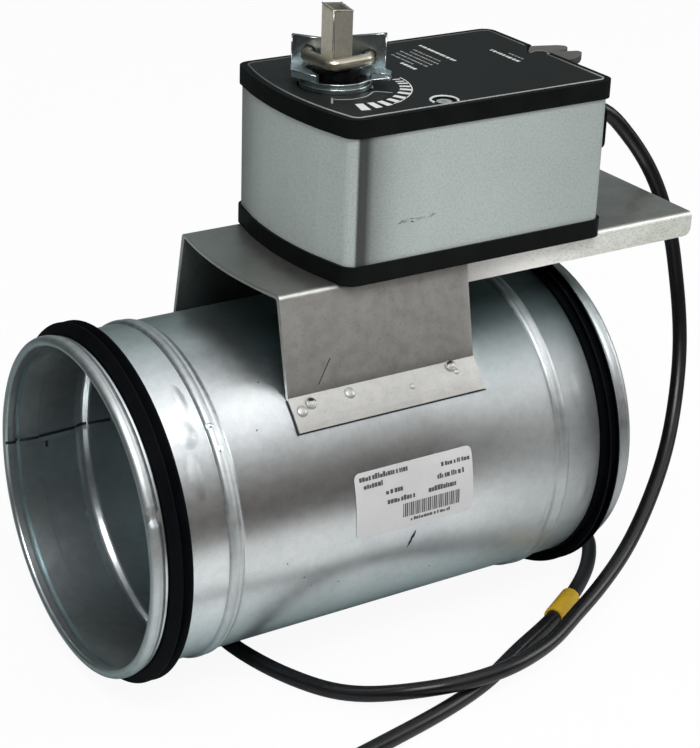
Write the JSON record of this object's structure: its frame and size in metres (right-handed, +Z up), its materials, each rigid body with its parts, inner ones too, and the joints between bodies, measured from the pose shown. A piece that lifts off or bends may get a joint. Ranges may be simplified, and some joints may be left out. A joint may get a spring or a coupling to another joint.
{
  "type": "motorized duct damper",
  "caption": "Round duct damper with a flat blade on a square shaft, turned by a spring-return actuator on a bridge bracket, with lip seals at both spigots and a trailing cable.",
  "frame": {"origin": "on the duct's axis, where the inlet spigot's rounded nose becomes cylindrical, 1.2 mm inside the inlet's end face", "axes": "+X along the duct from inlet to outlet, +Z up along the blade shaft towards the actuator, +Y completes the right hand"},
  "size_m": [0.2758, 0.1949, 0.241],
  "materials": {
    "galvanised": "satin",
    "seal_rubber": "matt",
    "bush_plastic": "matt",
    "bracket_steel": "satin",
    "zinc_steel": "satin",
    "case_plastic": "matt",
    "sleeve_coat": "speckled matt",
    "label_film": "satin",
    "gear_steel": "satin",
    "board_green": "satin",
    "part_black": "satin",
    "spring_steel": "satin",
    "cable_black": "satin",
    "marker_yellow": "satin",
    "core_brown": "satin",
    "tin": "bright",
    "crank_grey": "matt",
    "shaft_nickel": "satin",
    "journal_white": "matt",
    "hub_black": "matt",
    "clamp_zinc": "bluish zinc",
    "bolt_zinc": "yellow zinc",
    "gear_plastic": "matt",
    "pinion_brass": "satin"
  },
  "bodies": {
    "damper": {"duct_tube": "galvanised", "inlet_seal": "seal_rubber", "outlet_seal": "seal_rubber", "upper_bush": "bush_plastic", "lower_bush": "bush_plastic", "bracket": "bracket_steel", "bracket_rivets": "galvanised", "mounting_screws": "zinc_steel", "lower_tray": "case_plastic", "housing_sleeve": "sleeve_coat", "top_cover": "case_plastic", "label_plate": "label_film", "cover_screws": "zinc_steel", "gear_plate": "gear_steel", "gear_plate_screws": "zinc_steel", "gear_axles": "gear_steel", "motor": "gear_steel", "circuit_board": "board_green", "board_parts": "part_black", "return_spring": "spring_steel", "spring_case": "gear_steel", "cable_gland": "case_plastic", "cable": "cable_black", "cable_marker": "marker_yellow", "cable_cores": "core_brown", "core_ferrules": "tin", "crank_handle": "crank_grey"},
    "blade": {"blade_front": "galvanised", "blade_back": "galvanised", "blade_seal": "seal_rubber", "blade_rivets": "zinc_steel", "blade_shaft": "shaft_nickel", "upper_journal": "journal_white", "lower_journal": "journal_white", "output_hub": "hub_black", "output_gear": "gear_steel", "hub_collar": "gear_steel", "clamp_bracket": "clamp_zinc", "v_bolt": "bolt_zinc", "clamp_nuts": "zinc_steel"},
    "second_stage": {"second_gear": "gear_plastic"},
    "first_stage": {"first_gear": "gear_plastic"},
    "motor_stage": {"motor_pinion": "pinion_brass"}
  },
  "joints": [
    {"name": "damper_turn", "type": "hinge", "parent": "damper", "child": "blade", "pos_m": [0.105, 0, 0], "axis": [0, 0, 1], "range_deg": [0, 90], "stiffness_Nm_per_rad": 1, "springref_deg": -57.3},
    {"name": "second_gear_turn", "type": "hinge", "parent": "damper", "child": "second_stage", "pos_m": [0.14112, 0, 0], "axis": [0, 0, 1], "range_deg": [-451, 1]},
    {"name": "first_gear_turn", "type": "hinge", "parent": "damper", "child": "first_stage", "pos_m": [0.15715, 0.01345, 0], "axis": [0, 0, 1], "range_deg": [-1, 1501]},
    {"name": "motor_turn", "type": "hinge", "parent": "damper", "child": "motor_stage", "pos_m": [0.16501, -0.00017, 0], "axis": [0, 0, 1], "range_deg": [-5001, 1]}
  ],
  "couplings": [
    {"joint": "second_gear_turn", "follows": "damper_turn", "ratio": -5},
    {"joint": "first_gear_turn", "follows": "damper_turn", "ratio": 16.667},
    {"joint": "motor_turn", "follows": "damper_turn", "ratio": -55.556}
  ]
}
